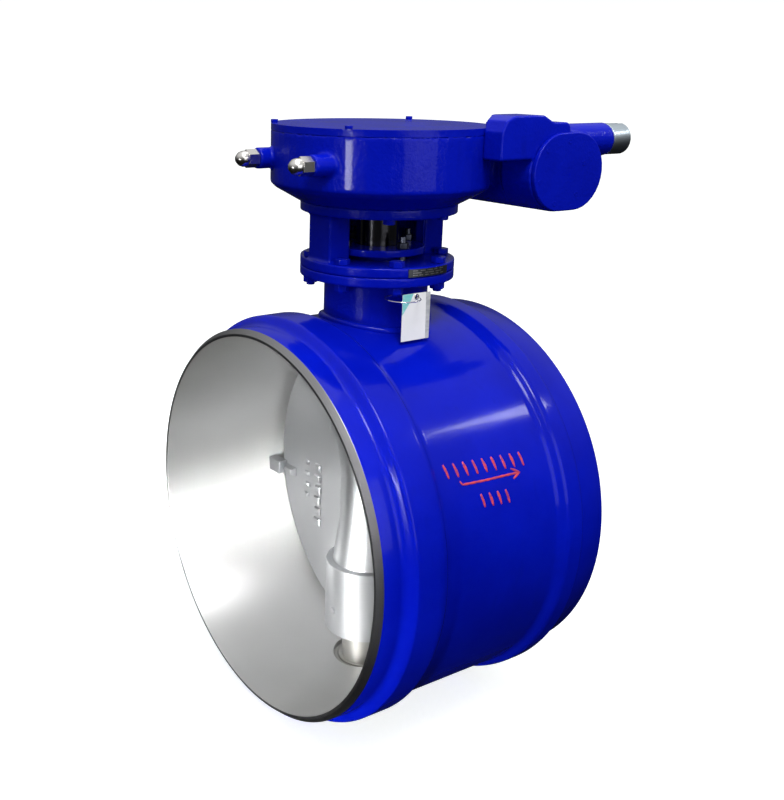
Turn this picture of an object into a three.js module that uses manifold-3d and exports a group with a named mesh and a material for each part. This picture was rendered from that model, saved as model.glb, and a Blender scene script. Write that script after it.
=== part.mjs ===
// Butt-welded butterfly valve, nominal size 900, with a two-stage worm operator.
// Millimetres. Origin: where the stem axis crosses the pipe axis.
// +X runs along the pipe towards the outlet, +Z runs up the stem.
import * as THREE from 'three';
import { mergeVertices } from 'three/addons/utils/BufferGeometryUtils.js';
import Module from 'manifold-3d';

const wasm = await Module();
wasm.setup();

// Body
const FACE = 332;
const PIPE_R = 457.2;
const BORE_R = 440;
const BARREL_R = 464;
const RIDGE_R = 480;
const GAP = 0.3;
const RUN_GAP = 0.8;
const BODY_SEGS = 64;

// Seat and disc: the seal plane lies SEAT_X behind the stem axis
const SEAT_X = 80;
const SEAT_R = 424;
const SEAT_SLOPE = SEAT_X / SEAT_R;
const SEAL_GAP = 1.1;
const FACE_X = 18;
const HUB_R = 68;
const HUB_WIDE = 84;
const COLLAR_R = 100;
const COLLAR_Z = 172;
const HUB_END = 352;
const PIN_Z = 290;

// Stem and neck
const STEM_R = 50;
const BUSH_R = 62;
const SPIGOT_R = 75;
const PACKING_R = 68;
const NECK_R = 122;
const FLANGE_R = 180;
const FLANGE_LOW = 562;
const FLANGE_MID = 584;
const FLANGE_TOP = 606;
const FLANGE_PCR = 158;
const LOWER_FACE = -468;

// Bracket between the neck flange and the operator
const BRACKET_R = 182;
const BRACKET_TOP = 734.7;
const BRACKET_PLATE = 712;
const LEG_IN = 112;
const LEG_OUT = 168;
const LEG_HALF = 40;
const GLAND_PCR = 92;

// Operator: housing, main worm gear and first-stage worm gear
const DRUM_R = 252;
const DRUM_IN = 236;
const DRUM_LOW = 735;
const DRUM_FLOOR = 774;
const DRUM_RIM = 893;
const DRUM_TOP = 908;
const GEAR_Z = 812;
const WHEEL_TEETH = 43;
const WHEEL_MODULE = 10;
const WHEEL_R = WHEEL_TEETH * WHEEL_MODULE / 2;
const WORM_R = 55;
const WORM_X = WHEEL_R + WORM_R;
const CASE_R = 88;
const CASE_BACK = -200.3;
const CASE_FRONT = -290;
const CASE_LONG = 46;
const FIRST_TEETH = 24;
const FIRST_MODULE = 3.7;
const FIRST_R = FIRST_TEETH * FIRST_MODULE / 2;
const INPUT_R = 20;
const INPUT_STARTS = 2;
const INPUT_Y = -248;
const INPUT_Z = GEAR_Z + FIRST_R + INPUT_R;
const STOP_Y = 105;
const STOP_Z = 832;
const STOP_FACE = -180;

// Where the tag hangs from its wire loop, under the neck flange
const TAG_AT = [-22, -172, 540];

const PAINT = new THREE.MeshStandardMaterial({ color: 0x0a1fae, roughness: 0.3 });
const STEEL = new THREE.MeshStandardMaterial({ color: 0xb9bcc0, metalness: 1, roughness: 0.35 });
const DARK = new THREE.MeshStandardMaterial({ color: 0x3a3c40, metalness: 0.8, roughness: 0.5 });
const BRONZE = new THREE.MeshStandardMaterial({ color: 0xa8763e, metalness: 1, roughness: 0.4 });
const GRAPHITE = new THREE.MeshStandardMaterial({ color: 0x26272a, roughness: 0.8 });
const PAPER = new THREE.MeshStandardMaterial({ color: 0xf2f2ee, roughness: 0.7 });

const group = new THREE.Group();

// Closed solid from a geometry, with its faces turned outwards.
function solid(geometry) {
  const source = geometry.index ? geometry.toNonIndexed() : geometry;
  const bare = new THREE.BufferGeometry();
  bare.setAttribute('position', source.getAttribute('position').clone());
  const merged = mergeVertices(bare, 1e-3);
  const points = merged.getAttribute('position').array;
  const triangles = [];
  let volume = 0;
  const a = new THREE.Vector3();
  const b = new THREE.Vector3();
  const c = new THREE.Vector3();
  for (let i = 0; i < merged.index.count; i += 3) {
    const [p, q, r] = [0, 1, 2].map((k) => merged.index.getX(i + k));
    if (p === q || q === r || r === p) continue;
    triangles.push(p, q, r);
    a.fromArray(points, 3 * p);
    b.fromArray(points, 3 * q);
    c.fromArray(points, 3 * r);
    volume += a.dot(b.cross(c));
  }
  if (volume < 0) triangles.reverse();
  return new wasm.Manifold(new wasm.Mesh({
    numProp: 3,
    vertProperties: new Float32Array(points),
    triVerts: new Uint32Array(triangles),
  }));
}

function add(name, body, material) {
  const data = body.getMesh();
  const geometry = new THREE.BufferGeometry();
  geometry.setAttribute('position', new THREE.BufferAttribute(data.vertProperties, 3));
  geometry.setIndex(new THREE.BufferAttribute(data.triVerts, 1));
  geometry.computeVertexNormals();
  const mesh = new THREE.Mesh(geometry, material);
  mesh.name = name;
  group.add(mesh);
}

// Turns a geometry made about Y so that its axis lies along the named axis.
function along(geometry, axis) {
  if (axis === 'X') geometry.rotateZ(-Math.PI / 2);
  if (axis === 'Z') geometry.rotateX(Math.PI / 2);
  return geometry;
}

// Revolved ring or solid: profile is a list of [distance along the axis, radius].
function turned(axis, profile, segs, at = [0, 0, 0]) {
  const points = profile.map(([s, r]) => new THREE.Vector2(r, s));
  if (profile[0][1] > 0) points.push(points[0].clone());
  const geometry = along(new THREE.LatheGeometry(points, segs), axis);
  return solid(geometry.translate(...at));
}

function rod(axis, radius, from, to, at = [0, 0, 0], segs = 24) {
  return turned(axis, [[from, 0], [from, radius], [to, radius], [to, 0]], segs, at);
}

function ring(axis, inner, outer, from, to, at = [0, 0, 0], segs = 24) {
  return turned(axis, [[from, inner], [from, outer], [to, outer], [to, inner]], segs, at);
}

function box(x0, x1, y0, y1, z0, z1) {
  const geometry = new THREE.BoxGeometry(x1 - x0, y1 - y0, z1 - z0);
  return solid(geometry.translate((x0 + x1) / 2, (y0 + y1) / 2, (z0 + z1) / 2));
}

// Prism from a flat outline, standing on height z0.
function prism(outline, z0, z1, steps = 1) {
  const shape = new THREE.Shape(outline.map(([x, y]) => new THREE.Vector2(x, y)));
  const geometry = new THREE.ExtrudeGeometry(shape, { depth: z1 - z0, steps, bevelEnabled: false });
  return geometry.translate(0, 0, z0);
}

function polar(radius, degrees) {
  const a = degrees * Math.PI / 180;
  return [radius * Math.cos(a), radius * Math.sin(a)];
}

// Hexagon bolt or nut standing on Z.
function hexagon(acrossFlats, z0, z1, x, y) {
  return rod('Z', acrossFlats / Math.sqrt(3), z0, z1, [x, y, 0], 6);
}

// ---------------------------------------------------------------- body
const shellProfile = [
  [-FACE, BORE_R], [-FACE, 447], [-320, PIPE_R], [-264, PIPE_R], [-253, 477], [-247, RIDGE_R],
  [-182, RIDGE_R], [-174, 477], [-158, BARREL_R], [168, BARREL_R], [184, 477], [190, RIDGE_R],
  [228, RIDGE_R], [234, 477], [244, PIPE_R], [320, PIPE_R], [FACE, 447], [FACE, BORE_R],
];
const stemHoles = rod('Z', SPIGOT_R, -500, 500);
add('body_shell', turned('X', shellProfile, BODY_SEGS).subtract(stemHoles), PAINT);

// The seat's radius changes round the bore, so that the seal leaves it at once on opening.
function seatCone(geometry, fits, gap) {
  const points = geometry.getAttribute('position');
  for (let i = 0; i < points.count; i += 1) {
    const [x, y, z] = [points.getX(i), points.getY(i), points.getZ(i)];
    const r = Math.hypot(y, z);
    if (fits(r)) {
      const s = (SEAT_R - gap + (SEAT_X - x) * SEAT_SLOPE * (1 - y / r)) / r;
      points.setXYZ(i, x, y * s, z * s);
    }
  }
  return geometry;
}

function bandOf(inner, outer, from, to) {
  const loop = [[from, inner], [from, outer], [to, outer], [to, inner], [from, inner]];
  const points = loop.map(([s, r]) => new THREE.Vector2(r, s));
  return along(new THREE.LatheGeometry(points, BODY_SEGS), 'X');
}

add('seat_ring', solid(seatCone(bandOf(SEAT_R, BORE_R - GAP, SEAT_X - 13.5, SEAT_X + 20), (r) => r < 432, 0)), STEEL);

// Stop lug on the far wall that the closed disc's edge rests against.
const lug = box(-10, FACE_X - GAP, 386, 450, -75, -39).intersect(rod('X', BORE_R - GAP, -20, 60, [0, 0, 0], BODY_SEGS));
add('disc_stop', lug, STEEL);

const barrelCut = rod('X', BARREL_R + GAP, -300, 300, [0, 0, 0], BODY_SEGS);
const neck = ring('Z', BUSH_R + GAP, NECK_R, 400, FLANGE_MID - GAP, [0, 0, 0], 48)
  .subtract(barrelCut)
  .add(ring('Z', BUSH_R + GAP, SPIGOT_R - GAP, 443, 480))
  .add(ring('Z', BUSH_R + GAP, FLANGE_R, FLANGE_LOW, FLANGE_MID - GAP, [0, 0, 0], 48))
  .subtract(rod('Z', PACKING_R + GAP, 525, 600));

const flangeAngles = [...Array(8).keys()].map((k) => 22.5 + 45 * k);
function flangeHoles(z0, z1) {
  const holes = flangeAngles.map((angle) => rod('Z', 10.5, z0, z1, [...polar(FLANGE_PCR, angle), 0], 10));
  return holes.reduce((all, hole) => all.add(hole));
}
add('stem_neck', neck.subtract(flangeHoles(540, 600)), PAINT);

const boss = ring('Z', BUSH_R + GAP, 110, LOWER_FACE, -400, [0, 0, 0], 32)
  .subtract(barrelCut)
  .add(ring('Z', BUSH_R + GAP, SPIGOT_R - GAP, LOWER_FACE, -443));
add('lower_boss', boss, PAINT);
add('lower_cover', rod('Z', 104, LOWER_FACE - 13, LOWER_FACE - GAP), PAINT);

add('upper_bush', ring('Z', STEM_R + RUN_GAP, BUSH_R, 441, 524.7), BRONZE);
add('lower_bush', ring('Z', STEM_R + RUN_GAP, BUSH_R, LOWER_FACE + GAP, -441), BRONZE);
add('spacer_sleeve', ring('Z', STEM_R + RUN_GAP, 53.6, -440.7, -HUB_END - GAP), BRONZE);

// Packing and gland
for (const k of [0, 1]) {
  const low = 525.3 + 21 * k;
  add(`packing_ring_${k + 1}`, ring('Z', STEM_R + RUN_GAP, PACKING_R, low, low + 20.7), GRAPHITE);
}
const glandHoles = [0, 90, 180, 270].map((angle) => rod('Z', 8.5, 600, 640, [...polar(GLAND_PCR, angle), 0], 10));
const follower = ring('Z', STEM_R + RUN_GAP, PACKING_R, 567.5, 625)
  .add(ring('Z', STEM_R + RUN_GAP, 112, 618, 634))
  .subtract(glandHoles.reduce((all, hole) => all.add(hole)));
add('gland_follower', follower, PAINT);
[0, 90, 180, 270].forEach((angle, k) => {
  const [x, y] = polar(GLAND_PCR, angle);
  const stud = rod('Z', 8, FLANGE_TOP + GAP, 662, [x, y, 0], 10).add(hexagon(24, 634.3, 648, x, y));
  add(`gland_stud_${k + 1}`, stud, STEEL);
});

// ---------------------------------------------------------------- bracket
function leg(side) {
  const post = side > 0
    ? box(LEG_IN, LEG_OUT, -LEG_HALF, LEG_HALF, FLANGE_TOP - 1, BRACKET_PLATE + 1)
    : box(-LEG_OUT, -LEG_IN, -LEG_HALF, LEG_HALF, FLANGE_TOP - 1, BRACKET_PLATE + 1);
  return post;
}
const topAngles = [-120, -60, 60, 120];
const topHoles = topAngles.map((angle) => rod('Z', 8.5, 700, 740, [...polar(155, angle), 0], 10));
const bracket = ring('Z', 78, FLANGE_R, FLANGE_MID, FLANGE_TOP, [0, 0, 0], 48)
  .add(ring('Z', 96, BRACKET_R, BRACKET_PLATE, BRACKET_TOP, [0, 0, 0], 48))
  .add(leg(1))
  .add(leg(-1))
  .subtract(flangeHoles(580, 620))
  .subtract(topHoles.reduce((all, hole) => all.add(hole)));
add('bracket', bracket, PAINT);

flangeAngles.forEach((angle, k) => {
  const [x, y] = polar(FLANGE_PCR, angle);
  const bolt = rod('Z', 10, 540, FLANGE_TOP + 5, [x, y, 0], 10)
    .add(hexagon(30, FLANGE_TOP + GAP, FLANGE_TOP + 13, x, y))
    .add(hexagon(30, FLANGE_LOW - 16, FLANGE_LOW - GAP, x, y));
  add(`flange_bolt_${k + 1}`, bolt, DARK);
});

// ---------------------------------------------------------------- operator housing
const drum = turned('Z', [
  [DRUM_LOW, 54], [DRUM_LOW, 186], [766, 242], [776, DRUM_R], [DRUM_RIM, DRUM_R], [DRUM_RIM, 54],
], 64);
const wormCentre = [WORM_X, 0, GEAR_Z];
const bosses = [-STOP_Y, STOP_Y].map((y) => rod('X', 24, -270, -200, [0, y, STOP_Z], 16));
const screwHoles = [-STOP_Y, STOP_Y].map((y) => rod('X', 12.3, -280, -150, [0, y, STOP_Z], 16));
const coverAngles = [35, 145, 215, 325];
const rimHoles = coverAngles.map((angle) => rod('Z', 5.3, 870, 900, [...polar(244, angle), 0], 10));
const seatHoles = topAngles.map((angle) => rod('Z', 8.5, 730, 762, [...polar(155, angle), 0], 10));
let housing = drum.add(rod('Y', CASE_R, -200, 140, wormCentre, 32));
bosses.forEach((piece) => {
  housing = housing.add(piece);
});
housing = housing
  .subtract(rod('Z', DRUM_IN, DRUM_FLOOR, DRUM_TOP, [0, 0, 0], 64))
  .subtract(rod('Z', DRUM_R + GAP, DRUM_RIM, DRUM_TOP + 10, [0, 0, 0], 64))
  .subtract(rod('Z', STEM_R + 1, 700, 800))
  .subtract(rod('Y', 68, -210, 150, wormCentre, 32));
[...screwHoles, ...rimHoles, ...seatHoles].forEach((hole) => {
  housing = housing.subtract(hole);
});
add('gearbox_housing', housing, PAINT);

topAngles.forEach((angle, k) => {
  const [x, y] = polar(155, angle);
  const bolt = rod('Z', 8, 705, 760, [x, y, 0], 10).add(hexagon(24, 700, BRACKET_PLATE - GAP, x, y));
  add(`gearbox_bolt_${k + 1}`, bolt, DARK);
});

const coverHoles = coverAngles.map((angle) => rod('Z', 5.3, 880, 920, [...polar(244, angle), 0], 10));
const lid = rod('Z', DRUM_R, DRUM_RIM + GAP, DRUM_TOP, [0, 0, 0], 64)
  .subtract(coverHoles.reduce((all, hole) => all.add(hole)));
add('gearbox_cover', lid, PAINT);
coverAngles.forEach((angle, k) => {
  const [x, y] = polar(244, angle);
  const bolt = rod('Z', 5, 872, DRUM_TOP + 4, [x, y, 0], 10).add(hexagon(15, DRUM_TOP + GAP, 915, x, y));
  add(`cover_bolt_${k + 1}`, bolt, DARK);
});

const drumSpace = rod('Z', DRUM_R + GAP, 700, 950, [0, 0, 0], 64);
add('worm_end_cap', rod('Y', CASE_R, 140.3, 154, wormCentre).subtract(drumSpace), PAINT);
[[104, 130], [-150, -124]].forEach(([from, to], k) => {
  add(`worm_bearing_${k + 1}`, ring('Y', 30 + GAP, 68 - GAP, from, to, wormCentre), STEEL);
});

// First-stage case: round case for the wheel, with a bar across its top for the input worm.
const inputAt = [0, INPUT_Y, INPUT_Z];
const blockEdge = [
  [92, 842], [300, 842], [300, 912], [290, 920], [250, 920], [240, 924], [216, 936], [130, 936], [104, 926], [92, 902],
];
const block = solid(prism(blockEdge, -INPUT_Y - 42, -CASE_FRONT).rotateX(Math.PI / 2));
const bar = rod('X', 38, 290, 454, inputAt).add(block);
// The case is oblong: two round ends CASE_LONG apart, joined by a block.
function oblong(radius, from, to) {
  return rod('Y', radius, from, to, wormCentre, 32)
    .add(rod('Y', radius, from, to, [WORM_X + CASE_LONG, 0, GEAR_Z], 32))
    .add(box(WORM_X, WORM_X + CASE_LONG, from, to, GEAR_Z - radius, GEAR_Z + radius));
}
const firstCase = oblong(CASE_R, CASE_FRONT, CASE_BACK)
  .add(bar)
  .subtract(rod('Y', 70, CASE_FRONT - 1, -212, wormCentre))
  .subtract(rod('Y', 31, -220, -190, wormCentre))
  .subtract(rod('X', 30, 148, 500, inputAt))
  .subtract(drumSpace);
add('primary_case', firstCase, PAINT);
add('primary_cover', oblong(86, CASE_FRONT - 12, CASE_FRONT - GAP), PAINT);

// ---------------------------------------------------------------- gears
// Toothed outline with straight flanks; a gap is centred on angle 0.
function toothed(teeth, module, from, to, thin) {
  const r = teeth * module / 2;
  const pitch = Math.PI * module;
  const tip = (pitch / 4 - thin - 0.364 * module) / (r + module);
  const root = (pitch / 4 - thin + 0.364 * 1.2 * module) / (r - 1.2 * module);
  const step = 2 * Math.PI / teeth;
  const outline = [];
  for (let k = from; k < to; k += 1) {
    const mid = (k + 0.5) * step;
    for (const [angle, radius] of [[-root, r - 1.2 * module], [-tip, r + module]]) {
      outline.push([radius * Math.cos(mid + angle), radius * Math.sin(mid + angle)]);
    }
    for (const [angle, radius] of [[tip, r + module], [root, r - 1.2 * module]]) {
      outline.push([radius * Math.cos(mid + angle), radius * Math.sin(mid + angle)]);
    }
  }
  return outline;
}

// Twists a prism about Z so that its teeth follow the worm's lead.
function twisted(geometry, rate) {
  const points = geometry.getAttribute('position');
  for (let i = 0; i < points.count; i += 1) {
    const [x, y, z] = [points.getX(i), points.getY(i), points.getZ(i)];
    const a = rate * z;
    points.setXYZ(i, x * Math.cos(a) - y * Math.sin(a), x * Math.sin(a) + y * Math.cos(a), z);
  }
  return geometry;
}

// Right-handed thread about Y, its crest crossing y = 0 at the angle phase.
function thread(module, starts, radius, half, phase) {
  const lead = starts * Math.PI * module;
  const segs = 16;
  const turns = Math.ceil(2 * half / lead) + 1;
  const wide = Math.PI * module / 4 - 0.06 * module + 0.364 * 1.25 * module;
  const thin = Math.PI * module / 4 - 0.06 * module - 0.364 * module;
  const low = radius - 1.25 * module;
  const high = radius + module;
  const section = [[low, -wide], [high, -thin], [high, thin], [low, wide]];
  const points = [];
  const faces = [];
  const count = segs * turns;
  for (let i = 0; i <= count; i += 1) {
    const turn = (i / segs - turns / 2) * 2 * Math.PI;
    for (const [r, s] of section) {
      points.push(r * Math.sin(turn + phase), lead * turn / (2 * Math.PI) + s, r * Math.cos(turn + phase));
    }
  }
  for (let i = 0; i < count; i += 1) {
    for (let k = 0; k < 4; k += 1) {
      const [p, q] = [4 * i + k, 4 * i + (k + 1) % 4];
      faces.push(p, q, q + 4, p, q + 4, p + 4);
    }
  }
  const last = 4 * count;
  faces.push(0, 2, 1, 0, 3, 2, last, last + 1, last + 2, last, last + 2, last + 3);
  const geometry = new THREE.BufferGeometry();
  geometry.setAttribute('position', new THREE.Float32BufferAttribute(points, 3));
  geometry.setIndex(faces);
  return solid(geometry).intersect(rod('Y', radius + 2 * module, -half, half));
}

// Main wheel: teeth only over the quarter turn it makes, then two lugs that meet the stop screws.
const toothArc = toothed(WHEEL_TEETH, WHEEL_MODULE, -3, 13, 0.6);
const rimR = WHEEL_R - 1.2 * WHEEL_MODULE;
const firstAngle = Math.atan2(toothArc[0][1], toothArc[0][0]) * 180 / Math.PI;
const lastAngle = Math.atan2(toothArc.at(-1)[1], toothArc.at(-1)[0]) * 180 / Math.PI;
const sector = [...toothArc, polar(60, lastAngle), polar(60, firstAngle)];
const wormLead = WHEEL_MODULE / 2;
const wheelTwist = wormLead / WORM_R / WHEEL_R;
const wheelBlank = solid(twisted(prism(sector, -30, 30, 2), wheelTwist)).translate([0, 0, GEAR_Z]);
const lugA = box(STOP_FACE, -60, 84, 126, GEAR_Z - 30, GEAR_Z + 40);
const lugB = box(84, 126, STOP_FACE, -60, GEAR_Z - 30, GEAR_Z + 40);
const wheel = wheelBlank
  .add(rod('Z', 132, GEAR_Z - 30, GEAR_Z + 30))
  .add(rod('Z', 90, GEAR_Z - 30, GEAR_Z + 66))
  .add(lugA)
  .add(lugB)
  .intersect(rod('Z', rimR + 2.2 * WHEEL_MODULE, 700, 900, [0, 0, 0], 64))
  .subtract(rod('Z', STEM_R + GAP, 700, 900))
  .subtract(box(40, 60, -8, 8, 700, 900));
add('worm_wheel', wheel, BRONZE);
add('stem_key', box(43.5, 57, -7.7, 7.7, 790, 872), STEEL);

// Main worm, with the shaft that carries the first-stage wheel.
const wormBody = turned('Y', [
  [132, 0], [132, 30], [70, 30], [66, WORM_R - 12], [-66, WORM_R - 12], [-70, 30],
  [-226, 30], [-228, 24], [-278, 24], [-278, 0],
], 24).add(thread(WHEEL_MODULE, 1, WORM_R, 62, -Math.PI / 2));
add('worm_shaft', wormBody.translate(wormCentre), STEEL);

const firstTwist = FIRST_MODULE * INPUT_STARTS / 2 / INPUT_R / FIRST_R;
const firstRing = toothed(FIRST_TEETH, FIRST_MODULE, 0, FIRST_TEETH, 0.6);
const firstGear = twisted(prism(firstRing, -14, 14, 2), firstTwist);
// Stood on its edge: wheel axis along Y, the gap at angle 0 turned up to +Z.
firstGear.rotateX(-Math.PI / 2).rotateY(-Math.PI / 2);
const firstWheel = solid(firstGear)
  .translate([WORM_X, INPUT_Y, GEAR_Z])
  .subtract(rod('Y', 24 + GAP, -300, -200, wormCentre));
add('primary_wheel', firstWheel, BRONZE);

// Input worm and its drive end. Made about Y, then laid along X.
const inputBlank = turned('Y', [
  [151, 0], [151, 29], [185, 29], [185, 18], [234, 18], [237, INPUT_R - 4.3], [303, INPUT_R - 4.3],
  [306, 18], [410, 18], [410, 29], [454, 29], [457, 36], [513, 36], [516, 33], [516, 0],
], 24).add(thread(FIRST_MODULE, INPUT_STARTS, INPUT_R, 30, Math.PI).translate([0, WORM_X, 0]))
  .add(thread(FIRST_MODULE, INPUT_STARTS, INPUT_R, 30, 0).translate([0, WORM_X, 0]))
  .subtract(box(-6, 6, 472, 530, 31, 40));
add('input_shaft', inputBlank.rotate([0, 0, -90]).translate(inputAt), STEEL);

// ---------------------------------------------------------------- stem, disc and seal
const keyway = box(40, 60, -8, 8, 788, 874);
const pinHoles = [-PIN_Z, PIN_Z].map((z) => rod('X', 9 + GAP, -200, 60, [0, 0, z], 10));
const stem = rod('Z', STEM_R, 150.3, 884).subtract(keyway).subtract(pinHoles[1]);
add('stem', stem, STEEL);
add('lower_shaft', rod('Z', STEM_R, LOWER_FACE + 2, -150.3).subtract(pinHoles[0]), STEEL);

const plate = turned('X', [
  [FACE_X, 0], [FACE_X, 404], [FACE_X + 3, 410], [FACE_X + 9, 416], [SEAT_X - 4 - GAP, 416], [SEAT_X - 4 - GAP, 379.7], [SEAT_X + 4, 379.7],
  [SEAT_X + 4, 339.7], [96, 339.7], [96, 318], [64, 312], [64, 0],
], BODY_SEGS);
const hub = turned('Z', [
  [-HUB_END, 0], [-HUB_END, COLLAR_R], [-COLLAR_Z, COLLAR_R], [2 - COLLAR_Z, HUB_WIDE], [-60, HUB_R],
  [60, HUB_R], [COLLAR_Z - 2, HUB_WIDE], [COLLAR_Z, COLLAR_R], [HUB_END, COLLAR_R], [HUB_END, 0],
], 32);
const ribs = [-230, -115, 0, 115, 230].map((z) => {
  const half = Math.sqrt(316 ** 2 - z ** 2);
  return box(60, 92, -half, half, z - 8, z + 8);
});
const disc = ribs.reduce((whole, rib) => whole.add(rib), plate.add(hub))
  .subtract(ring('X', 380 - GAP, 430, SEAT_X - 4 - GAP, SEAT_X + 4, [0, 0, 0], BODY_SEGS))
  .subtract(ring('X', 339.7, 430, SEAT_X + 4, 120, [0, 0, 0], BODY_SEGS))
  .subtract(rod('Z', STEM_R + GAP, 150, 450))
  .subtract(rod('Z', STEM_R + GAP, -450, -150))
  .subtract(rod('Z', 54.8, -450, -HUB_END))
  .subtract(pinHoles[0])
  .subtract(pinHoles[1]);
add('disc', disc, STEEL);
const sealBand = bandOf(380, SEAT_R - SEAL_GAP, SEAT_X - 4, SEAT_X + 4 - GAP);
add('disc_seal', solid(seatCone(sealBand, (r) => r > 400, SEAL_GAP)), STEEL);
add('seal_retainer', ring('X', 340, 408, SEAT_X + 4 + GAP, 96, [0, 0, 0], BODY_SEGS), STEEL);
[-PIN_Z, PIN_Z].forEach((z, k) => {
  add(`taper_pin_${k + 1}`, rod('X', 9, -105, 59.5, [0, 0, z], 10), STEEL);
});

// ---------------------------------------------------------------- stop screws
[-STOP_Y, STOP_Y].forEach((y, k) => {
  const at = [0, y, STOP_Z];
  add(`stop_screw_${k + 1}`, rod('X', 12, -308, STOP_FACE - 0.4, at, 16), STEEL);
  const nut = turned('X', [
    [-324, 0], [-321, 9], [-314, 15.5], [-306, 18], [-297, 18], [-297, 12.3], [-309, 12.3], [-309, 0],
  ], 16, at);
  const flats = rod('X', 36 / Math.sqrt(3), -298, -271, at, 6).subtract(rod('X', 12 + GAP, -310, -260, at, 16));
  add(`stop_nut_${k + 1}`, nut.add(flats), STEEL);
});

// ---------------------------------------------------------------- plate and tag
const plateBand = ring('Z', FLANGE_R + GAP, FLANGE_R + 2.3, 586, 604, [0, 0, 0], 64);
add('name_plate', plateBand.intersect(box(-50, 66, -200, -100, 580, 610)), DARK);

const loop = new THREE.TorusGeometry(40, 1.4, 6, 24).translate(TAG_AT[0] - 40, TAG_AT[1], TAG_AT[2]);
add('tag_wire', solid(loop), STEEL);
const card = box(TAG_AT[0] - 40, TAG_AT[0] + 40, TAG_AT[1] - 0.6, TAG_AT[1] + 0.6, 441, 548)
  .subtract(rod('Y', 3.5, -5, 5, TAG_AT, 16));
add('hang_tag', card, PAPER);

export default group;
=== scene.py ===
"""Looks for the butterfly valve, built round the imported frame: finer meshes, materials, trim."""
import math

import bpy
import bmesh
from mathutils import Matrix, Vector


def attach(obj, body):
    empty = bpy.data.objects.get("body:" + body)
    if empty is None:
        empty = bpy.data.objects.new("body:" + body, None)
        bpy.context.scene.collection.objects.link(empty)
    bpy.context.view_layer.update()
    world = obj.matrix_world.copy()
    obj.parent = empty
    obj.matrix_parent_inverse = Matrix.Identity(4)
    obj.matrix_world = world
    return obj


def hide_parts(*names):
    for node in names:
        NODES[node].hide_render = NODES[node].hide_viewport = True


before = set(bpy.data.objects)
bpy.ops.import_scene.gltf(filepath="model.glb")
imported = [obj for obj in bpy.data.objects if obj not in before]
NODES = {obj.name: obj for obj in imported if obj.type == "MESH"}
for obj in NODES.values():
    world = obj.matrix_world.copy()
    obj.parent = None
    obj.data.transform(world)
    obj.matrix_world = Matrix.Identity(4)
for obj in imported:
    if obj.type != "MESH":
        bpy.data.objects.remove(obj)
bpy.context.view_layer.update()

# Driving sizes of the frame, in metres. The pipe lies along X, the stem stands along Z.
PIPE_R = 0.4572
BORE_R = 0.440
BARREL_R = 0.464
RIDGE_R = 0.480
FACE = 0.332  # half the body's length, to each weld end
NECK_R = 0.122
BOSS_R = 0.113
STEM_HOLE_R = 0.075
BARE_R = 0.0765  # castings are machined, not painted, this close to the stem's axis
FLANGE_R = 0.180
DISC_FACE = 0.018  # X of the disc's front face
TAG_FACE = -0.1726  # Y of the card's near face
WORM = Vector((0.27, 0, 0.812))  # a point on the worm's axis, which runs along Y

# Meshes
BODY_SEGMENTS = 224
WELD_GAP = 0.00002  # CAD corners closer than this are one corner
SADDLE_POINTS = 180
BEAD_SIDES = 10

# Stage and camera. The heading, tilt and roll are written in degrees.
FLOOR_Z = -0.484
FLOOR_GLOW = 0.78
CAMERA_AT = (-1.5391, -1.9004, 1.0346)
YAW, PITCH, ROLL = (math.radians(a) for a in (-33.28, 14.49, 0.66))
FOCAL = 1049.2 / 800  # in image heights
SENSOR = 36
SHIFT = (0.15, -0.08)  # only as far as the photograph's framing needs


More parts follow.
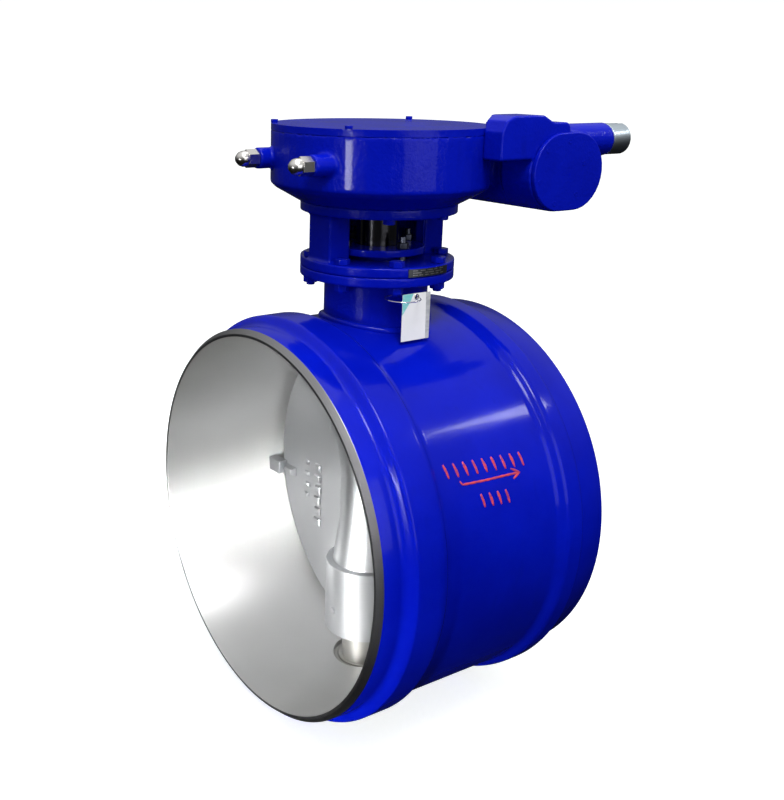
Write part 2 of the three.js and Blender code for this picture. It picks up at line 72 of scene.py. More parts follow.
# ---------------------------------------------------------------- materials
class Shade:
    """A node material with a Principled shader and short helpers for its inputs."""

    def __init__(self, name, color, rough, metal=0.0, **sockets):
        self.mat = bpy.data.materials.new(name)
        self.mat.use_nodes = True
        self.tree = self.mat.node_tree
        self.bsdf = self.tree.nodes["Principled BSDF"]
        self.bsdf.inputs["Base Color"].default_value = (*color, 1)
        self.bsdf.inputs["Roughness"].default_value = rough
        self.bsdf.inputs["Metallic"].default_value = metal
        for key, value in sockets.items():
            self.bsdf.inputs[key.replace("_", " ")].default_value = value
        self.where = self.node("ShaderNodeTexCoord").outputs["Object"]
        self.normal = None

    def node(self, kind, **values):
        made = self.tree.nodes.new(kind)
        for key, value in values.items():
            setattr(made, key, value)
        return made

    def link(self, a, b):
        self.tree.links.new(a, b)

    def noise(self, scale, detail=3.0, stretch=(1, 1, 1)):
        mapping = self.node("ShaderNodeMapping")
        mapping.inputs["Scale"].default_value = stretch
        self.link(self.where, mapping.inputs["Vector"])
        made = self.node("ShaderNodeTexNoise")
        made.inputs["Scale"].default_value = scale
        made.inputs["Detail"].default_value = detail
        made.inputs["Roughness"].default_value = 0.55
        self.link(mapping.outputs[0], made.inputs["Vector"])
        return made.outputs["Fac"]

    def ramp(self, fac, stops):
        made = self.node("ShaderNodeValToRGB")
        while len(made.color_ramp.elements) < len(stops):
            made.color_ramp.elements.new(0.5)
        for element, (at, color) in zip(made.color_ramp.elements, stops):
            element.position = at
            element.color = (*color, 1)
        self.link(fac, made.inputs["Fac"])
        return made.outputs["Color"]

    def span(self, fac, low, high, a=0.3, b=0.7):
        """Takes fac's stretch from a to b to low to high."""
        made = self.node("ShaderNodeMapRange")
        for key, value in (("From Min", a), ("From Max", b), ("To Min", low), ("To Max", high)):
            made.inputs[key].default_value = value
        self.link(fac, made.inputs["Value"])
        return made.outputs["Result"]

    def mix(self, fac, a, b):
        made = self.node("ShaderNodeMix", data_type="RGBA")
        self.link(fac, made.inputs["Factor"])
        for value, socket in ((a, made.inputs["A"]), (b, made.inputs["B"])):
            if isinstance(value, tuple):
                socket.default_value = (*value, 1)
            else:
                self.link(value, socket)
        return made.outputs["Result"]

    def color(self, out):
        self.link(out, self.bsdf.inputs["Base Color"])

    def rough(self, out):
        self.link(out, self.bsdf.inputs["Roughness"])

    def bump(self, height, strength, distance):
        made = self.node("ShaderNodeBump")
        made.inputs["Strength"].default_value = strength
        made.inputs["Distance"].default_value = distance
        self.link(height, made.inputs["Height"])
        if self.normal is not None:
            self.link(self.normal, made.inputs["Normal"])
        self.normal = made.outputs["Normal"]
        self.link(self.normal, self.bsdf.inputs["Normal"])

    def worn(self):
        """0 in hollows to 1 on sharp edges."""
        return self.node("ShaderNodeNewGeometry").outputs["Pointiness"]


def blue_paint(name, cast):
    """Glossy blue with darker runs, lighter edges and orange peel, coarser on a casting."""
    s = Shade(name, (0.0018, 0.008, 0.42), 0.20,
              Coat_Weight=0.10, Coat_Roughness=0.04, Specular_IOR_Level=0.10)
    tone = s.ramp(s.noise(5.0, 4), [(0.3, (0.0008, 0.0050, 0.34)), (0.7, (0.0012, 0.0080, 0.46))])
    runs = s.noise(26.0, 5, (1, 1, 0.25))
    runs = s.ramp(runs, [(0.60, (0, 0, 0)), (0.78, (0.35, 0.35, 0.35))])
    tone = s.mix(runs, tone, (0.0008, 0.005, 0.25))
    edge = s.ramp(s.worn(), [(0.53, (0, 0, 0)), (0.62, (0.30, 0.30, 0.30))])
    s.color(s.mix(edge, tone, (0.004, 0.018, 0.55)))
    s.rough(s.span(s.noise(14.0, 4), 0.10, 0.24 if cast else 0.18))
    s.bump(s.noise(420.0, 2), 0.22 if cast else 0.05, 0.0006)
    s.bump(s.noise(70.0, 3), 0.30 if cast else 0.07, 0.0016 if cast else 0.0008)
    if cast:
        s.bump(s.noise(160.0, 3), 0.50, 0.0016)
        s.bump(s.noise(22.0, 2), 0.30, 0.004)
    return s.mat


def steel(name, color, low, high, lines=(1, 1, 1), scale=120.0, strength=0.12, stain=0.12,
          spread=0.0):
    """Bare metal, low to high in roughness.

    Its grain follows lines, scale and strength, and stain varies its tone. A spread above 0
    stretches its highlights along the pipe's axis, across the rings that a lathe leaves."""
    s = Shade(name, color, low, 1.0, Anisotropic=spread)
    if spread:
        ring = s.node("ShaderNodeTangent", direction_type="RADIAL", axis="X")
        s.link(ring.outputs[0], s.bsdf.inputs["Tangent"])
        s.bsdf.inputs["Anisotropic Rotation"].default_value = 0.25
    dark = tuple(c * (1 - stain) for c in color)
    light = tuple(min(1, c * (1 + stain * 0.6)) for c in color)
    s.color(s.ramp(s.noise(2.6, 3), [(0.25, dark), (0.75, light)]))
    s.rough(s.span(s.noise(4.0, 2), low, high, 0.2, 0.8))
    s.bump(s.noise(scale, 3, lines), strength, 0.0004)
    s.bump(s.noise(500.0, 2), 0.04, 0.0002)
    return s.mat


def turned_steel(name, color, low, high):
    """Faced on a lathe about the pipe axis: fine rings round X."""
    s = Shade(name, color, low, 1.0)
    split = s.node("ShaderNodeSeparateXYZ")
    s.link(s.where, split.inputs[0])
    flat = s.node("ShaderNodeCombineXYZ")
    s.link(split.outputs["Y"], flat.inputs["X"])
    s.link(split.outputs["Z"], flat.inputs["Y"])
    length = s.node("ShaderNodeVectorMath", operation="LENGTH")
    s.link(flat.outputs[0], length.inputs[0])
    radius = s.node("ShaderNodeCombineXYZ")
    s.link(length.outputs["Value"], radius.inputs["X"])
    rings = s.node("ShaderNodeTexNoise")
    rings.inputs["Scale"].default_value = 700.0
    rings.inputs["Detail"].default_value = 2.0
    s.link(radius.outputs[0], rings.inputs["Vector"])
    dark = tuple(c * 0.84 for c in color)
    s.color(s.ramp(s.noise(3.0, 2), [(0.2, dark), (0.8, color)]))
    s.rough(s.span(s.noise(5.0, 2), low, high, 0.2, 0.8))
    s.bump(rings.outputs["Fac"], 0.10, 0.0006)
    s.bump(s.noise(60.0, 3), 0.06, 0.0005)
    return s.mat


# Each metal's roughness stays above or below 0.27: a disc whose range crossed it rendered with
# sharp-edged patches.
PAINT = blue_paint("blue_paint", False)
CAST = blue_paint("blue_paint_on_casting", True)
BORE = steel("polished_bore", (0.84, 0.84, 0.83), 0.42, 0.50, (160, 1, 1), 3.0, 0.06, 0.06,
             spread=0.85)
BEVEL = steel("ground_bevel", (0.27, 0.27, 0.28), 0.29, 0.42, (3, 40, 40), 6.0, 0.25, 0.18)
DISC = turned_steel("turned_disc", (0.76, 0.77, 0.79), 0.29, 0.38)
# Near black for steel: painted shade, so the stem inside the bracket looks as dark as the shade
# there. The worm bearings, lower shaft and key share this colour.
SHAFT = steel("ground_shaft", (0.07, 0.07, 0.08), 0.12, 0.20, (1, 1, 60), 20.0, 0.10)
# The blue tint in this steel's colour is a painted reflection of the blue paint around the shaft.
INPUT = steel("bright_input_shaft", (0.66, 0.76, 0.84), 0.29, 0.36, (60, 1, 1), 20.0, 0.10)
ZINC = steel("zinc_plated_nut", (0.74, 0.72, 0.70), 0.16, 0.26, (1, 1, 1), 60.0, 0.10, 0.2)
BOLT = steel("dark_bolt", (0.10, 0.11, 0.15), 0.28, 0.42, (1, 1, 1), 90.0, 0.20, 0.3)
SLEEVE_METAL = steel("tinned_bronze", (0.66, 0.65, 0.62), 0.29, 0.36, (1, 1, 40), 30.0, 0.10,
                     0.15)
BRONZE = steel("bronze", (0.62, 0.40, 0.20), 0.29, 0.40, (1, 1, 40), 30.0, 0.10, 0.2)
PLATE = steel("dark_plate", (0.16, 0.17, 0.19), 0.30, 0.42, (1, 60, 60), 20.0, 0.15, 0.25)
MARK = steel("plate_marks", (0.62, 0.63, 0.65), 0.30, 0.40)


def packing():
    s = Shade("braided_packing", (0.03, 0.03, 0.032), 0.7)
    braid = s.node("ShaderNodeTexVoronoi")
    braid.inputs["Scale"].default_value = 160.0
    s.link(s.where, braid.inputs["Vector"])
    tones = [(0.1, (0.015, 0.015, 0.016)), (0.6, (0.06, 0.06, 0.065))]
    s.color(s.ramp(braid.outputs["Distance"], tones))
    s.rough(s.span(s.noise(40.0), 0.55, 0.8))
    s.bump(braid.outputs["Distance"], 0.4, 0.001)
    return s.mat


def card_paper():
    s = Shade("white_card", (0.92, 0.92, 0.91), 0.5, Coat_Weight=0.3, Coat_Roughness=0.2)
    s.color(s.ramp(s.noise(9.0, 4), [(0.3, (0.90, 0.91, 0.90)), (0.7, (0.96, 0.96, 0.95))]))
    s.rough(s.span(s.noise(30.0, 3), 0.38, 0.6))
    s.bump(s.noise(900.0, 2), 0.15, 0.0002)
    s.bump(s.noise(16.0, 2), 0.3, 0.002)
    return s.mat


def brushed_color(name, color, second, rough):
    """Hand-brushed paint with uneven cover."""
    s = Shade(name, color, rough)
    s.color(s.ramp(s.noise(60.0, 5, (1, 1, 3)), [(0.35, second), (0.6, color)]))
    s.rough(s.span(s.noise(80.0, 3), rough - 0.1, rough + 0.15))
    s.bump(s.noise(260.0, 3, (0.3, 1, 1)), 0.3, 0.0005)
    return s.mat


PACKING = packing()
CARD = card_paper()
RED = brushed_color("red_paint_mark", (0.62, 0.045, 0.06), (0.34, 0.03, 0.12), 0.4)
TEAL = brushed_color("teal_card_fold", (0.20, 0.62, 0.62), (0.30, 0.70, 0.68), 0.4)
CARD_EDGE = brushed_color("grey_card_edge", (0.42, 0.43, 0.44), (0.55, 0.56, 0.56), 0.5)


# ---------------------------------------------------------------- mesh helpers
def piece(name, bm, mats, body, smooth=True):
    """Turns bm into an object that rides on body and takes its finish from mats."""
    mesh = bpy.data.meshes.new(name)
    bmesh.ops.recalc_face_normals(bm, faces=bm.faces)
    bm.to_mesh(mesh)
    bm.free()
    obj = bpy.data.objects.new(name, mesh)
    bpy.context.scene.collection.objects.link(obj)
    for mat in mats:
        mesh.materials.append(mat)
    if smooth:
        mesh.polygons.foreach_set("use_smooth", [True] * len(mesh.polygons))
    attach(obj, body)
    return obj


def applied(obj):
    """obj's mesh with its modifiers applied."""
    graph = bpy.context.evaluated_depsgraph_get()
    return bpy.data.meshes.new_from_object(obj.evaluated_get(graph))


def soften(obj, width, segments=2):
    """Rounds the edges of a machined piece and evens out its shading."""
    weld = obj.modifiers.new("weld", "WELD")
    weld.merge_threshold = WELD_GAP
    bevel = obj.modifiers.new("edge", "BEVEL")
    bevel.width = width
    bevel.segments = segments
    bevel.limit_method = "ANGLE"
    bevel.angle_limit = math.radians(32)
    obj.modifiers.new("shade", "WEIGHTED_NORMAL").weight = 80
    obj.data.polygons.foreach_set("use_smooth", [True] * len(obj.data.polygons))


def lathe(bm, profile, axis, at=(0, 0, 0), segs=96, closed=True):
    """Revolves (along, radius) points: a closed profile makes a ring, an open one a solid."""
    turn = {"X": lambda s, c, n: (s, c, n),
            "Y": lambda s, c, n: (c, s, n),
            "Z": lambda s, c, n: (c, n, s)}[axis]
    rings = []
    for s, r in profile:
        if r < 1e-7:
            rings.append([bm.verts.new(Vector(turn(s, 0, 0)) + Vector(at))])
            continue
        ring = []
        for k in range(segs):
            a = 2 * math.pi * k / segs
            place = Vector(turn(s, r * math.cos(a), r * math.sin(a)))
            ring.append(bm.verts.new(place + Vector(at)))
        rings.append(ring)
    pairs = list(zip(rings, rings[1:])) + ([(rings[-1], rings[0])] if closed else [])
    faces = []
    for a, b in pairs:
        for k in range(segs):
            j = (k + 1) % segs
            if len(a) == 1:
                faces.append(bm.faces.new((a[0], b[k], b[j])))
            elif len(b) == 1:
                faces.append(bm.faces.new((a[k], b[0], a[j])))
            else:
                faces.append(bm.faces.new((a[k], b[k], b[j], a[j])))
    return rings, faces


def rounded(points, radii):
    """A polyline with its inner corners rounded off, each from its radius before the corner."""
    steps = 6
    out = [Vector(points[0])]
    for k in range(1, len(points) - 1):
        p = Vector(points[k])
        a = Vector(points[k - 1]) - p
        b = Vector(points[k + 1]) - p
        r = min(radii[k - 1], a.length * 0.49, b.length * 0.49)
        start, end = p + a.normalized() * r, p + b.normalized() * r
        for i in range(steps + 1):
            t = i / steps
            out.append(start * (1 - t) ** 2 + p * 2 * t * (1 - t) + end * t * t)
    out.append(Vector(points[-1]))
    return [tuple(v) for v in out]


def join_rings(bm, rings, closed):
    """Skins a row of equal rings of corners, then joins its ends or caps them."""
    for a, b in list(zip(rings, rings[1:])) + ([(rings[-1], rings[0])] if closed else []):
        for i in range(len(a)):
            j = (i + 1) % len(a)
            bm.faces.new((a[i], b[i], b[j], a[j]))
    if not closed:
        bm.faces.new(rings[0])
        bm.faces.new(rings[-1])


def bead(name, path, radius):
    """A weld bead: a tube along a closed path whose thickness ripples once per pitch."""
    pitch = 0.009
    bm = bmesh.new()
    rings = []
    run = 0.0
    for k, p in enumerate(path):
        after = path[(k + 1) % len(path)]
        tangent = (Vector(after) - Vector(path[k - 1])).normalized()
        level = Vector((0, 0, 1)) if abs(tangent.z) < 0.9 else Vector((1, 0, 0))
        side = tangent.cross(level).normalized()
        up = side.cross(tangent)
        r = radius * (1 + 0.12 * math.sin(2 * math.pi * run / pitch) + 0.08 * math.sin(run * 61))
        turns = (2 * math.pi * i / BEAD_SIDES for i in range(BEAD_SIDES))
        rings.append([bm.verts.new(Vector(p) + (side * math.cos(a) + up * math.sin(a)) * r)
                      for a in turns])
        run += (Vector(after) - Vector(p)).length
    join_rings(bm, rings, closed=True)
    piece(name, bm, [PAINT], "valve_body")


def socket_screw(bm, at, out, wide, height):
    """A round screw head with a socket, standing out along the direction out."""
    profile = [(0, 0), (0, wide / 2), (height * 0.85, wide / 2), (height, wide / 2 - height * 0.15),
               (height, wide * 0.27), (height * 0.45, wide * 0.27), (height * 0.45, 0)]
    rings, _ = lathe(bm, profile, "Z", segs=24, closed=False)
    turn = Vector(out).normalized().to_track_quat("Z", "Y").to_matrix().to_4x4()
    bmesh.ops.transform(bm, matrix=Matrix.Translation(Vector(at)) @ turn,
                        verts=[v for ring in rings for v in ring])


def casting(name, node, voxel, smooth, bare=0.0):
    """A rough casting: the CAD solid remeshed so that its corners run into soft fillets.

    Inside the radius bare round the stem it is machined, not painted."""
    obj = bpy.data.objects.new(name, NODES[node].data.copy())
    bpy.context.scene.collection.objects.link(obj)
    weld = obj.modifiers.new("weld", "WELD")
    weld.merge_threshold = WELD_GAP
    remesh = obj.modifiers.new("remesh", "REMESH")
    remesh.mode = "VOXEL"
    remesh.voxel_size = voxel
    relax = obj.modifiers.new("relax", "LAPLACIANSMOOTH")
    relax.iterations = smooth
    relax.lambda_factor = 0.6
    done = applied(obj)
    obj.modifiers.clear()
    obj.data = done
    done.materials.clear()
    done.materials.append(CAST)
    if bare:
        done.materials.append(SLEEVE_METAL)
        inside = [int(math.hypot(face.center.x, face.center.y) < bare) for face in done.polygons]
        done.polygons.foreach_set("material_index", inside)
    done.polygons.foreach_set("use_smooth", [True] * len(done.polygons))
    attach(obj, "valve_body")
    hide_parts(node)


def paint_node(name, mat, width, segments=2):
    """Gives a CAD node its material and, where width isn't 0, rounded edges."""
    obj = NODES[name]
    obj.data.materials.clear()
    obj.data.materials.append(mat)
    if width:
        soften(obj, width, segments)


# ---------------------------------------------------------------- pipe body
def stem_hole_cutter(mats, inside):
    """A rod along the stem's axis; what it cuts shows material number inside."""
    bm = bmesh.new()
    profile = [(-0.6, 0), (-0.6, STEM_HOLE_R), (0.6, STEM_HOLE_R), (0.6, 0)]
    lathe(bm, profile, "Z", segs=64, closed=False)
    bmesh.ops.recalc_face_normals(bm, faces=bm.faces)
    mesh = bpy.data.meshes.new("stem_hole")
    bm.to_mesh(mesh)
    bm.free()
    for mat in mats:
        mesh.materials.append(mat)
    mesh.polygons.foreach_set("material_index", [inside] * len(mesh.polygons))
    cutter = bpy.data.objects.new("stem_hole", mesh)
    bpy.context.scene.collection.objects.link(cutter)
    return cutter


def body_shell():
    """The pipe body: its profile turned about the pipe's axis, with the stem's hole cut through."""
    bm = bmesh.new()
    corners = [(-0.3195, PIPE_R), (-0.268, PIPE_R), (-0.256, 0.4745), (-0.250, RIDGE_R),
               (-0.180, RIDGE_R), (-0.172, 0.4775), (-0.156, BARREL_R), (0.166, BARREL_R),
               (0.182, 0.4775), (0.190, RIDGE_R), (0.228, RIDGE_R), (0.236, 0.4745),
               (0.248, PIPE_R), (0.3195, PIPE_R)]
    radii = [0.014, 0.004, 0.007, 0.010, 0.006, 0.016, 0.016, 0.006, 0.010, 0.010, 0.004, 0.014]
    lip = 0.0008
    outer = rounded(corners, radii)
    front = [(-FACE, BORE_R + lip), (-FACE, 0.4466), (-0.3205, 0.4565)]
    rear = [(0.3205, 0.4565), (FACE, 0.4466), (FACE, BORE_R + lip)]
    inner = [(FACE - lip - 2 * (FACE - lip) * k / 12, BORE_R) for k in range(13)]
    _, faces = lathe(bm, front + outer + rear + inner, "X", segs=BODY_SEGMENTS)
    rear_bevel = len(front) + len(outer) - 1
    bore = rear_bevel + len(rear)
    for index, face in enumerate(faces):
        step = index // BODY_SEGMENTS
        if step < len(front) or rear_bevel <= step < bore:
            face.material_index = 1
        elif step >= bore:
            face.material_index = 2
    mats = [PAINT, BEVEL, BORE]
    obj = piece("pipe_body", bm, mats, "valve_body")
    cutter = stem_hole_cutter(mats, 2)
    cut = obj.modifiers.new("cut", "BOOLEAN")
    cut.object = cutter
    cut.operation = "DIFFERENCE"
    cut.solver = "EXACT"
    done = applied(obj)
    obj.modifiers.clear()
    obj.data = done
    bpy.data.objects.remove(cutter)
    done.polygons.foreach_set("use_smooth", [True] * len(done.polygons))
    done.set_sharp_from_angle(angle=math.radians(35))
    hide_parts("body_shell")


body_shell()


def saddle(radius, lift, sign):
    """The line where an upright tube meets the barrel, above it (sign 1) or below it (-1)."""
    points = []
    for k in range(SADDLE_POINTS):
        a = 2 * math.pi * k / SADDLE_POINTS
        x, y = radius * math.cos(a), radius * math.sin(a)
        points.append((x, y, sign * (math.sqrt(BARREL_R ** 2 - y * y) + lift)))
    return points


bead("neck_weld", saddle(NECK_R + 0.003, 0.002, 1), 0.0085)
bead("boss_weld", saddle(BOSS_R, 0.0015, -1), 0.007)


# ---------------------------------------------------------------- castings and CAD nodes
casting("neck_casting", "stem_neck", 0.0032, 5, bare=BARE_R)
casting("bracket_casting", "bracket", 0.0032, 6)
casting("gear_housing_casting", "gearbox_housing", 0.0038, 8)
casting("first_case_casting", "primary_case", 0.0032, 8)
casting("lower_boss_casting", "lower_boss", 0.0036, 4, bare=BARE_R)

for node in ("gearbox_cover", "primary_cover", "worm_end_cap", "lower_cover"):
    paint_node(node, CAST, 0.003, 3)
paint_node("gland_follower", PAINT, 0.002)
paint_node("disc", DISC, 0.0025, 3)
for node in ("seat_ring", "disc_seal", "seal_retainer"):
    paint_node(node, DISC, 0.0008)
for node in ("disc_stop", "taper_pin_1", "taper_pin_2"):
    paint_node(node, DISC, 0.0015)
for node in ("stem", "lower_shaft", "stem_key"):
    paint_node(node, SHAFT, 0.001)
for node in ("input_shaft", "worm_shaft"):
    paint_node(node, INPUT, 0.0012)
for node in ("worm_wheel", "primary_wheel"):
    paint_node(node, BRONZE, 0.0006)
for node in ("upper_bush", "lower_bush", "spacer_sleeve"):
    paint_node(node, SLEEVE_METAL, 0.0006)
for node in ("packing_ring_1", "packing_ring_2"):
    paint_node(node, PACKING, 0.002)
for k in (1, 2):
    paint_node(f"worm_bearing_{k}", SHAFT, 0.001)
    paint_node(f"stop_screw_{k}", ZINC, 0.001)
    paint_node(f"stop_nut_{k}", ZINC, 0.0012, 3)
for k in range(1, 9):
    paint_node(f"flange_bolt_{k}", CAST, 0.0012)
for k in range(1, 5):
    paint_node(f"gearbox_bolt_{k}", CAST, 0.0012)
    paint_node(f"cover_bolt_{k}", CAST, 0.0008)
    paint_node(f"gland_stud_{k}", BOLT, 0.0012)
paint_node("tag_wire", ZINC, 0)
paint_node("name_plate", PLATE, 0.0003, 1)
paint_node("hang_tag", CARD, 0.0002, 1)


# ---------------------------------------------------------------- small trim
def bolt_circle(name, centre, axis, radius, count, wide, height, mat, body="valve_body", phase=0.0):
    """Screw heads evenly spaced on a circle, the first one phase of a step round from its start."""
    bm = bmesh.new()
    centre, axis = Vector(centre), Vector(axis)
    u = axis.orthogonal().normalized()
    v = axis.cross(u)
    for k in range(count):
        a = 2 * math.pi * (k + phase) / count
        at = centre + (u * math.cos(a) + v * math.sin(a)) * radius
        socket_screw(bm, at, axis, wide, height)
    soften(piece(name, bm, [mat], body), 0.0006)


bolt_circle("retainer_screws", (0.0962, 0, 0), (1, 0, 0), 0.374, 24, 0.020, 0.003, ZINC,
            "disc_group")
bolt_circle("first_cover_screws", (WORM.x, -0.302, WORM.z), (0, -1, 0), 0.070, 6, 0.011, 0.0008,
            CAST, phase=0.5)
bolt_circle("end_cap_screws", (WORM.x, 0.154, WORM.z), (0, 1, 0), 0.072, 4, 0.018, 0.006, BOLT,
            phase=0.5)
bolt_circle("lower_cover_screws", (0, 0, -0.4802), (0, 0, -1), 0.082, 6, 0.016, 0.0007, BOLT)


def gland_guard():
    """A thin curved guard on the far side of the bracket, behind the stem."""
    section = [(0.1084, 0.6075), (0.1106, 0.6075), (0.1106, 0.7085), (0.1084, 0.7085)]
    start, sweep, steps = -28, 176, 48
    bm = bmesh.new()
    rows = []
    for k in range(steps + 1):
        a = math.radians(start + sweep * k / steps)
        rows.append([bm.verts.new((r * math.cos(a), r * math.sin(a), z)) for r, z in section])
    join_rings(bm, rows, closed=False)
    soften(piece("gland_guard", bm, [CAST], "valve_body"), 0.0006)


gland_guard()


def on_barrel(x, angle, radius):
    """A point round the pipe's axis: angle in degrees above the near side, -Y."""
    a = math.radians(angle)
    return Vector((x, -radius * math.cos(a), radius * math.sin(a)))


def brush_stroke(bm, points, width):
    """A strip of hand-brushed paint on the barrel: points are (x, angle), width in metres."""
    lift, sink, pitch = 0.0011, 0.001, 0.004
    section = ((-1, 0.0001), (-0.6, lift), (0.6, lift), (1, 0.0001), (1, -sink), (-1, -sink))
    dense = []
    for (x0, a0), (x1, a1) in zip(points, points[1:]):
        steps = max(3, int(math.hypot(x1 - x0, math.radians(a1 - a0) * BARREL_R) / pitch))
        dense += [(x0 + (x1 - x0) * i / steps, a0 + (a1 - a0) * i / steps) for i in range(steps)]
    dense.append(points[-1])
    rows = []
    last = len(dense) - 1
    for k, (x, a) in enumerate(dense):
        nx, na = dense[min(k + 1, last)]
        px, pa = dense[max(k - 1, 0)]
        dx, dy = nx - px, math.radians(na - pa) * BARREL_R
        size = math.hypot(dx, dy)
        taper = min(1, 0.55 + 0.25 * k, 0.55 + 0.25 * (last - k))
        w = width * (0.5 + 0.06 * math.sin(k * 0.9 + x * 90)) * taper
        ox, oy = -dy / size * w, dx / size * w
        rows.append([bm.verts.new(on_barrel(x + ox * t, a + math.degrees(oy * t / BARREL_R),
                                            BARREL_R + up)) for t, up in section])
    join_rings(bm, rows, closed=False)


def flow_marks():
    """An arrow between two rows of plain strokes, brushed on the near side of the barrel."""
    bm = bmesh.new()
    rows = ((9, -0.128, 0.0265, 31.0, 3.8), (4, -0.048, 0.0235, 21.4, 3.6))
    for count, start, step, top, fall in rows:
        for k in range(count):
            x, high = start + step * k, top - 0.2 * k
            points = [(x, high), (x + 0.004, high - fall / 2), (x + 0.006, high - fall)]
            brush_stroke(bm, points, 0.0066)
    brush_stroke(bm, [(-0.092, 24.9), (-0.03, 24.5), (0.070, 24.2)], 0.0050)
    brush_stroke(bm, [(0.050, 25.7), (0.073, 24.2), (0.052, 22.9)], 0.0052)
    brush_stroke(bm, [(-0.096, 25.9), (-0.091, 24.9)], 0.0055)
    piece("flow_arrow", bm, [RED], "valve_body")


flow_marks()


def plate_marks():
    """Three rows of plain bars on the dark plate, bent round the flange's rim."""
    low, high, half, steps = FLANGE_R + 0.0021, FLANGE_R + 0.00228, 0.0011, 6
    left, length = -0.040, 0.094
    section = ((-half, low), (half, low), (half, high), (-half, high))
    bm = bmesh.new()
    for row, (z, parts) in enumerate(((0.6005, 5), (0.5955, 3), (0.5905, 6))):
        for k in range(parts):
            start = left + length * k / parts
            end = start + length / parts * (0.62 + 0.1 * ((k + row) % 3))
            rows = []
            for i in range(steps + 1):
                x = start + (end - start) * i / steps
                rows.append([bm.verts.new((x, -math.sqrt(r * r - x * x), z + dz))
                             for dz, r in section])
            join_rings(bm, rows, closed=False)
    piece("plate_bars", bm, [MARK], "valve_body", smooth=False)


plate_marks()


def block(bm, low, high, slope):
    """A cast pad standing out along X: a box whose outer face is smaller by slope on each side."""
    x0, y0, z0 = low
    x1, y1, z1 = high
    base = [bm.verts.new((x0, y, z)) for y, z in ((y0, z0), (y1, z0), (y1, z1), (y0, z1))]
    y0, z0, y1, z1 = y0 + slope, z0 + slope, y1 - slope, z1 - slope
    cap = [bm.verts.new((x1, y, z)) for y, z in ((y0, z0), (y1, z0), (y1, z1), (y0, z1))]
    bm.faces.new(base)
    bm.faces.new(list(reversed(cap)))
    for i in range(4):
        j = (i + 1) % 4
        bm.faces.new((base[i], base[j], cap[j], cap[i]))


def disc_marks():
    """Plain raised pads where such discs carry cast marks, and the lug that meets the stop."""
    bm = bmesh.new()
    base = DISC_FACE - 0.001
    for k in range(6):
        z = -0.012 - 0.031 * k
        for y, high, wide in ((0.236, 0.012, 0.026), (0.286, 0.008, 0.018)):
            if y > 0.25 and k > 3:
                continue
            block(bm, (base, y - wide / 2 - 0.002 * (k % 3), z - high),
                  (DISC_FACE - 0.0065, y + wide / 2 + 0.003 * (k % 2), z + high), 0.004)
    block(bm, (base, 0.338, -0.072), (DISC_FACE - 0.017, 0.384, -0.046), 0.006)
    soften(piece("disc_pads", bm, [DISC], "disc_group"), 0.0022, 3)


disc_marks()


def tag_details():
    """The card's folded teal corner, its grey edge strip and its eyelet."""
    x0, x1, low, top = -0.062, 0.018, 0.441, 0.548

    def slab(name, outline, thick, mat):
        bm = bmesh.new()
        sides = [[bm.verts.new((x, y, z)) for x, z in outline]
                 for y in (TAG_FACE - thick, TAG_FACE - 0.00005)]
        join_rings(bm, sides, closed=False)
        piece(name, bm, [mat], "tag", smooth=False)

    fold = [(x0, top), (x0 + 0.030, top), (x0 + 0.020, top - 0.020), (x0, top - 0.046)]
    slab("tag_corner", fold, 0.0006, TEAL)
    strip = [(x1 - 0.010, low), (x1, low), (x1, top), (x1 - 0.013, top)]
    slab("tag_edge", strip, 0.0005, CARD_EDGE)
    bm = bmesh.new()
    lathe(bm, [(-0.0009, 0.0036), (-0.0009, 0.0062), (-0.0001, 0.0066), (-0.0001, 0.0036)], "Y",
          (-0.022, TAG_FACE, 0.540), segs=32)
    piece("tag_eyelet", bm, [ZINC], "tag")


tag_details()


# ---------------------------------------------------------------- stage, light and camera
def stage():
    """A round pale floor that curves up into a wall far behind whatever the camera looks at."""
    bm = bmesh.new()
    flat, bend, top, steps = 8.0, 3.0, 12.0, 16
    profile = [(FLOOR_Z, 0.0), (FLOOR_Z, flat)]
    for k in range(1, steps + 1):
        a = math.pi / 2 * k / steps
        profile.append((FLOOR_Z + bend * (1 - math.cos(a)), flat + bend * math.sin(a)))
    profile.append((top, flat + bend))
    lathe(bm, profile, "Z", closed=False)
    mesh = bpy.data.meshes.new("floor")
    bm.to_mesh(mesh)
    bm.free()
    floor = bpy.data.objects.new("floor", mesh)
    bpy.context.scene.collection.objects.link(floor)
    mesh.polygons.foreach_set("use_smooth", [True] * len(mesh.polygons))
    s = Shade("pale_floor", (0.60, 0.61, 0.60), 0.9, Specular_IOR_Level=0.1)
    s.color(s.ramp(s.noise(0.8), [(0.3, (0.58, 0.59, 0.585)), (0.7, (0.60, 0.605, 0.60))]))
    s.bsdf.inputs["Emission Color"].default_value = (0.98, 1.0, 0.995, 1)
    s.bsdf.inputs["Emission Strength"].default_value = FLOOR_GLOW
    mesh.materials.append(s.mat)
    for ray in ("visible_diffuse", "visible_glossy", "visible_shadow"):
        setattr(floor, ray, False)


stage()


def area(name, at, aim, size, power, tall=None, spread=180):
    """A rectangular lamp, square unless tall is given, that throws light spread degrees wide."""
    data = bpy.data.lights.new(name, "AREA")
    data.shape = "RECTANGLE"
    data.size = size
    data.size_y = tall or size
    data.energy = power
    data.spread = math.radians(spread)
    lamp = bpy.data.objects.new(name, data)
    bpy.context.scene.collection.objects.link(lamp)
    lamp.location = at
    lamp.visible_camera = False
    lamp.rotation_euler = (Vector(aim) - Vector(at)).to_track_quat("-Z", "Y").to_euler()


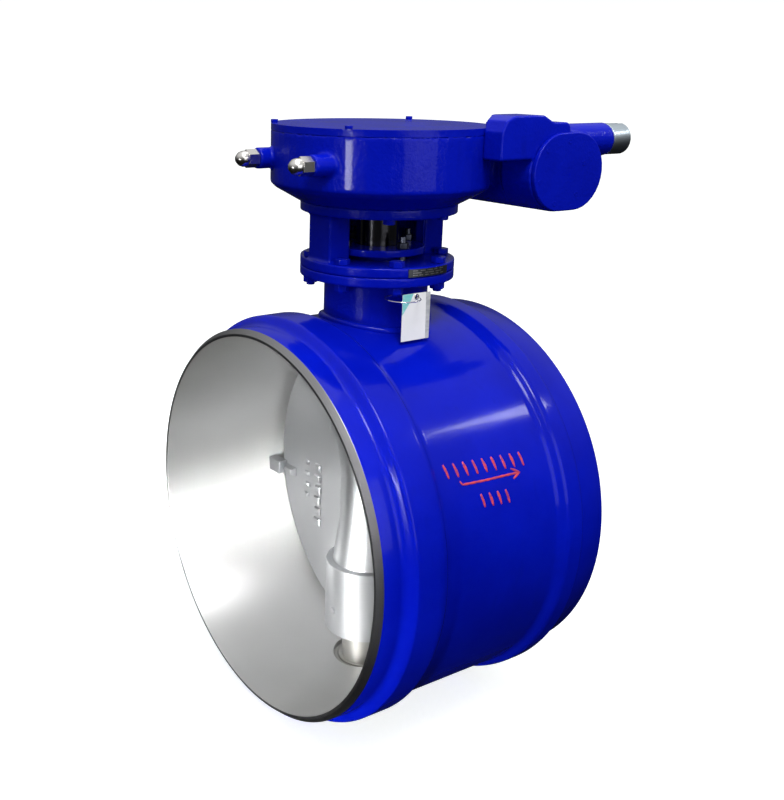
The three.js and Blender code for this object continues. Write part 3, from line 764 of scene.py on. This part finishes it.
area("high_front", (-1.1, -2.3, 4.4), (0, 0, 0.2), 1.4, 135)
area("overhead", (0.4, 0.2, 4.2), (0, 0, 0.2), 2.2, 20)
area("front_soft", (0.2, -5.2, 1.6), (0, 0, -0.1), 3.4, 58)
area("left_panel", (-4.4, -1.3, -0.14), (-0.3, 0.10, -0.19), 0.7, 8, tall=0.7, spread=13)
area("right_high", (2.9, -2.1, 2.7), (0.1, -0.3, 0.2), 0.35, 9)
area("tube", (-1.2, -2.6, 3.3), (0, 0, 0.3), 0.06, 10, tall=1.8)
area("left_lamp", (-3.9, -1.5, 0.8), (0, 0, 0.7), 0.09, 20, tall=1.1)


def studio():
    """Light from above and the sides, little from below."""
    greys = ((0.34, 0.006), (1.0, 0.30), (0.54, 0.10))
    world = bpy.data.worlds.new("studio")
    world.use_nodes = True
    tree = world.node_tree
    coord = tree.nodes.new("ShaderNodeTexCoord")
    split = tree.nodes.new("ShaderNodeSeparateXYZ")
    ramp = tree.nodes.new("ShaderNodeValToRGB")
    shift = tree.nodes.new("ShaderNodeMapRange")
    shift.inputs["From Min"].default_value = -1.0
    tree.links.new(coord.outputs["Generated"], split.inputs[0])
    tree.links.new(split.outputs["Z"], shift.inputs["Value"])
    tree.links.new(shift.outputs[0], ramp.inputs["Fac"])
    stops = ramp.color_ramp.elements
    for element, (at, grey) in zip((stops[0], stops[1], stops.new(0.5)), greys):
        element.position = at
        element.color = (grey * 0.98, grey, grey * 1.01, 1)
    tree.links.new(ramp.outputs["Color"], tree.nodes["Background"].inputs["Color"])
    bpy.context.scene.world = world


studio()
bpy.context.scene.view_settings.view_transform = "Standard"
bpy.context.scene.view_settings.look = "None"



def shoot():
    """The camera, at the place and heading that were fitted to the photograph."""
    data = bpy.data.cameras.new("camera")
    data.sensor_width = SENSOR
    data.lens = FOCAL * SENSOR
    data.shift_x, data.shift_y = SHIFT
    data.clip_start, data.clip_end = 0.05, 60
    camera = bpy.data.objects.new("camera", data)
    bpy.context.scene.collection.objects.link(camera)
    back = Vector((math.sin(YAW) * math.cos(PITCH), -math.cos(YAW) * math.cos(PITCH),
                   math.sin(PITCH)))
    level = (-back).cross(Vector((0, 0, 1))).normalized()
    upright = level.cross(-back)
    right = level * math.cos(ROLL) + upright * math.sin(ROLL)
    up = upright * math.cos(ROLL) - level * math.sin(ROLL)
    columns = (right, up, back, Vector(CAMERA_AT))
    camera.matrix_world = Matrix([[c[row] for c in columns] for row in range(3)] + [[0, 0, 0, 1]])
    bpy.context.scene.camera = camera


shoot()
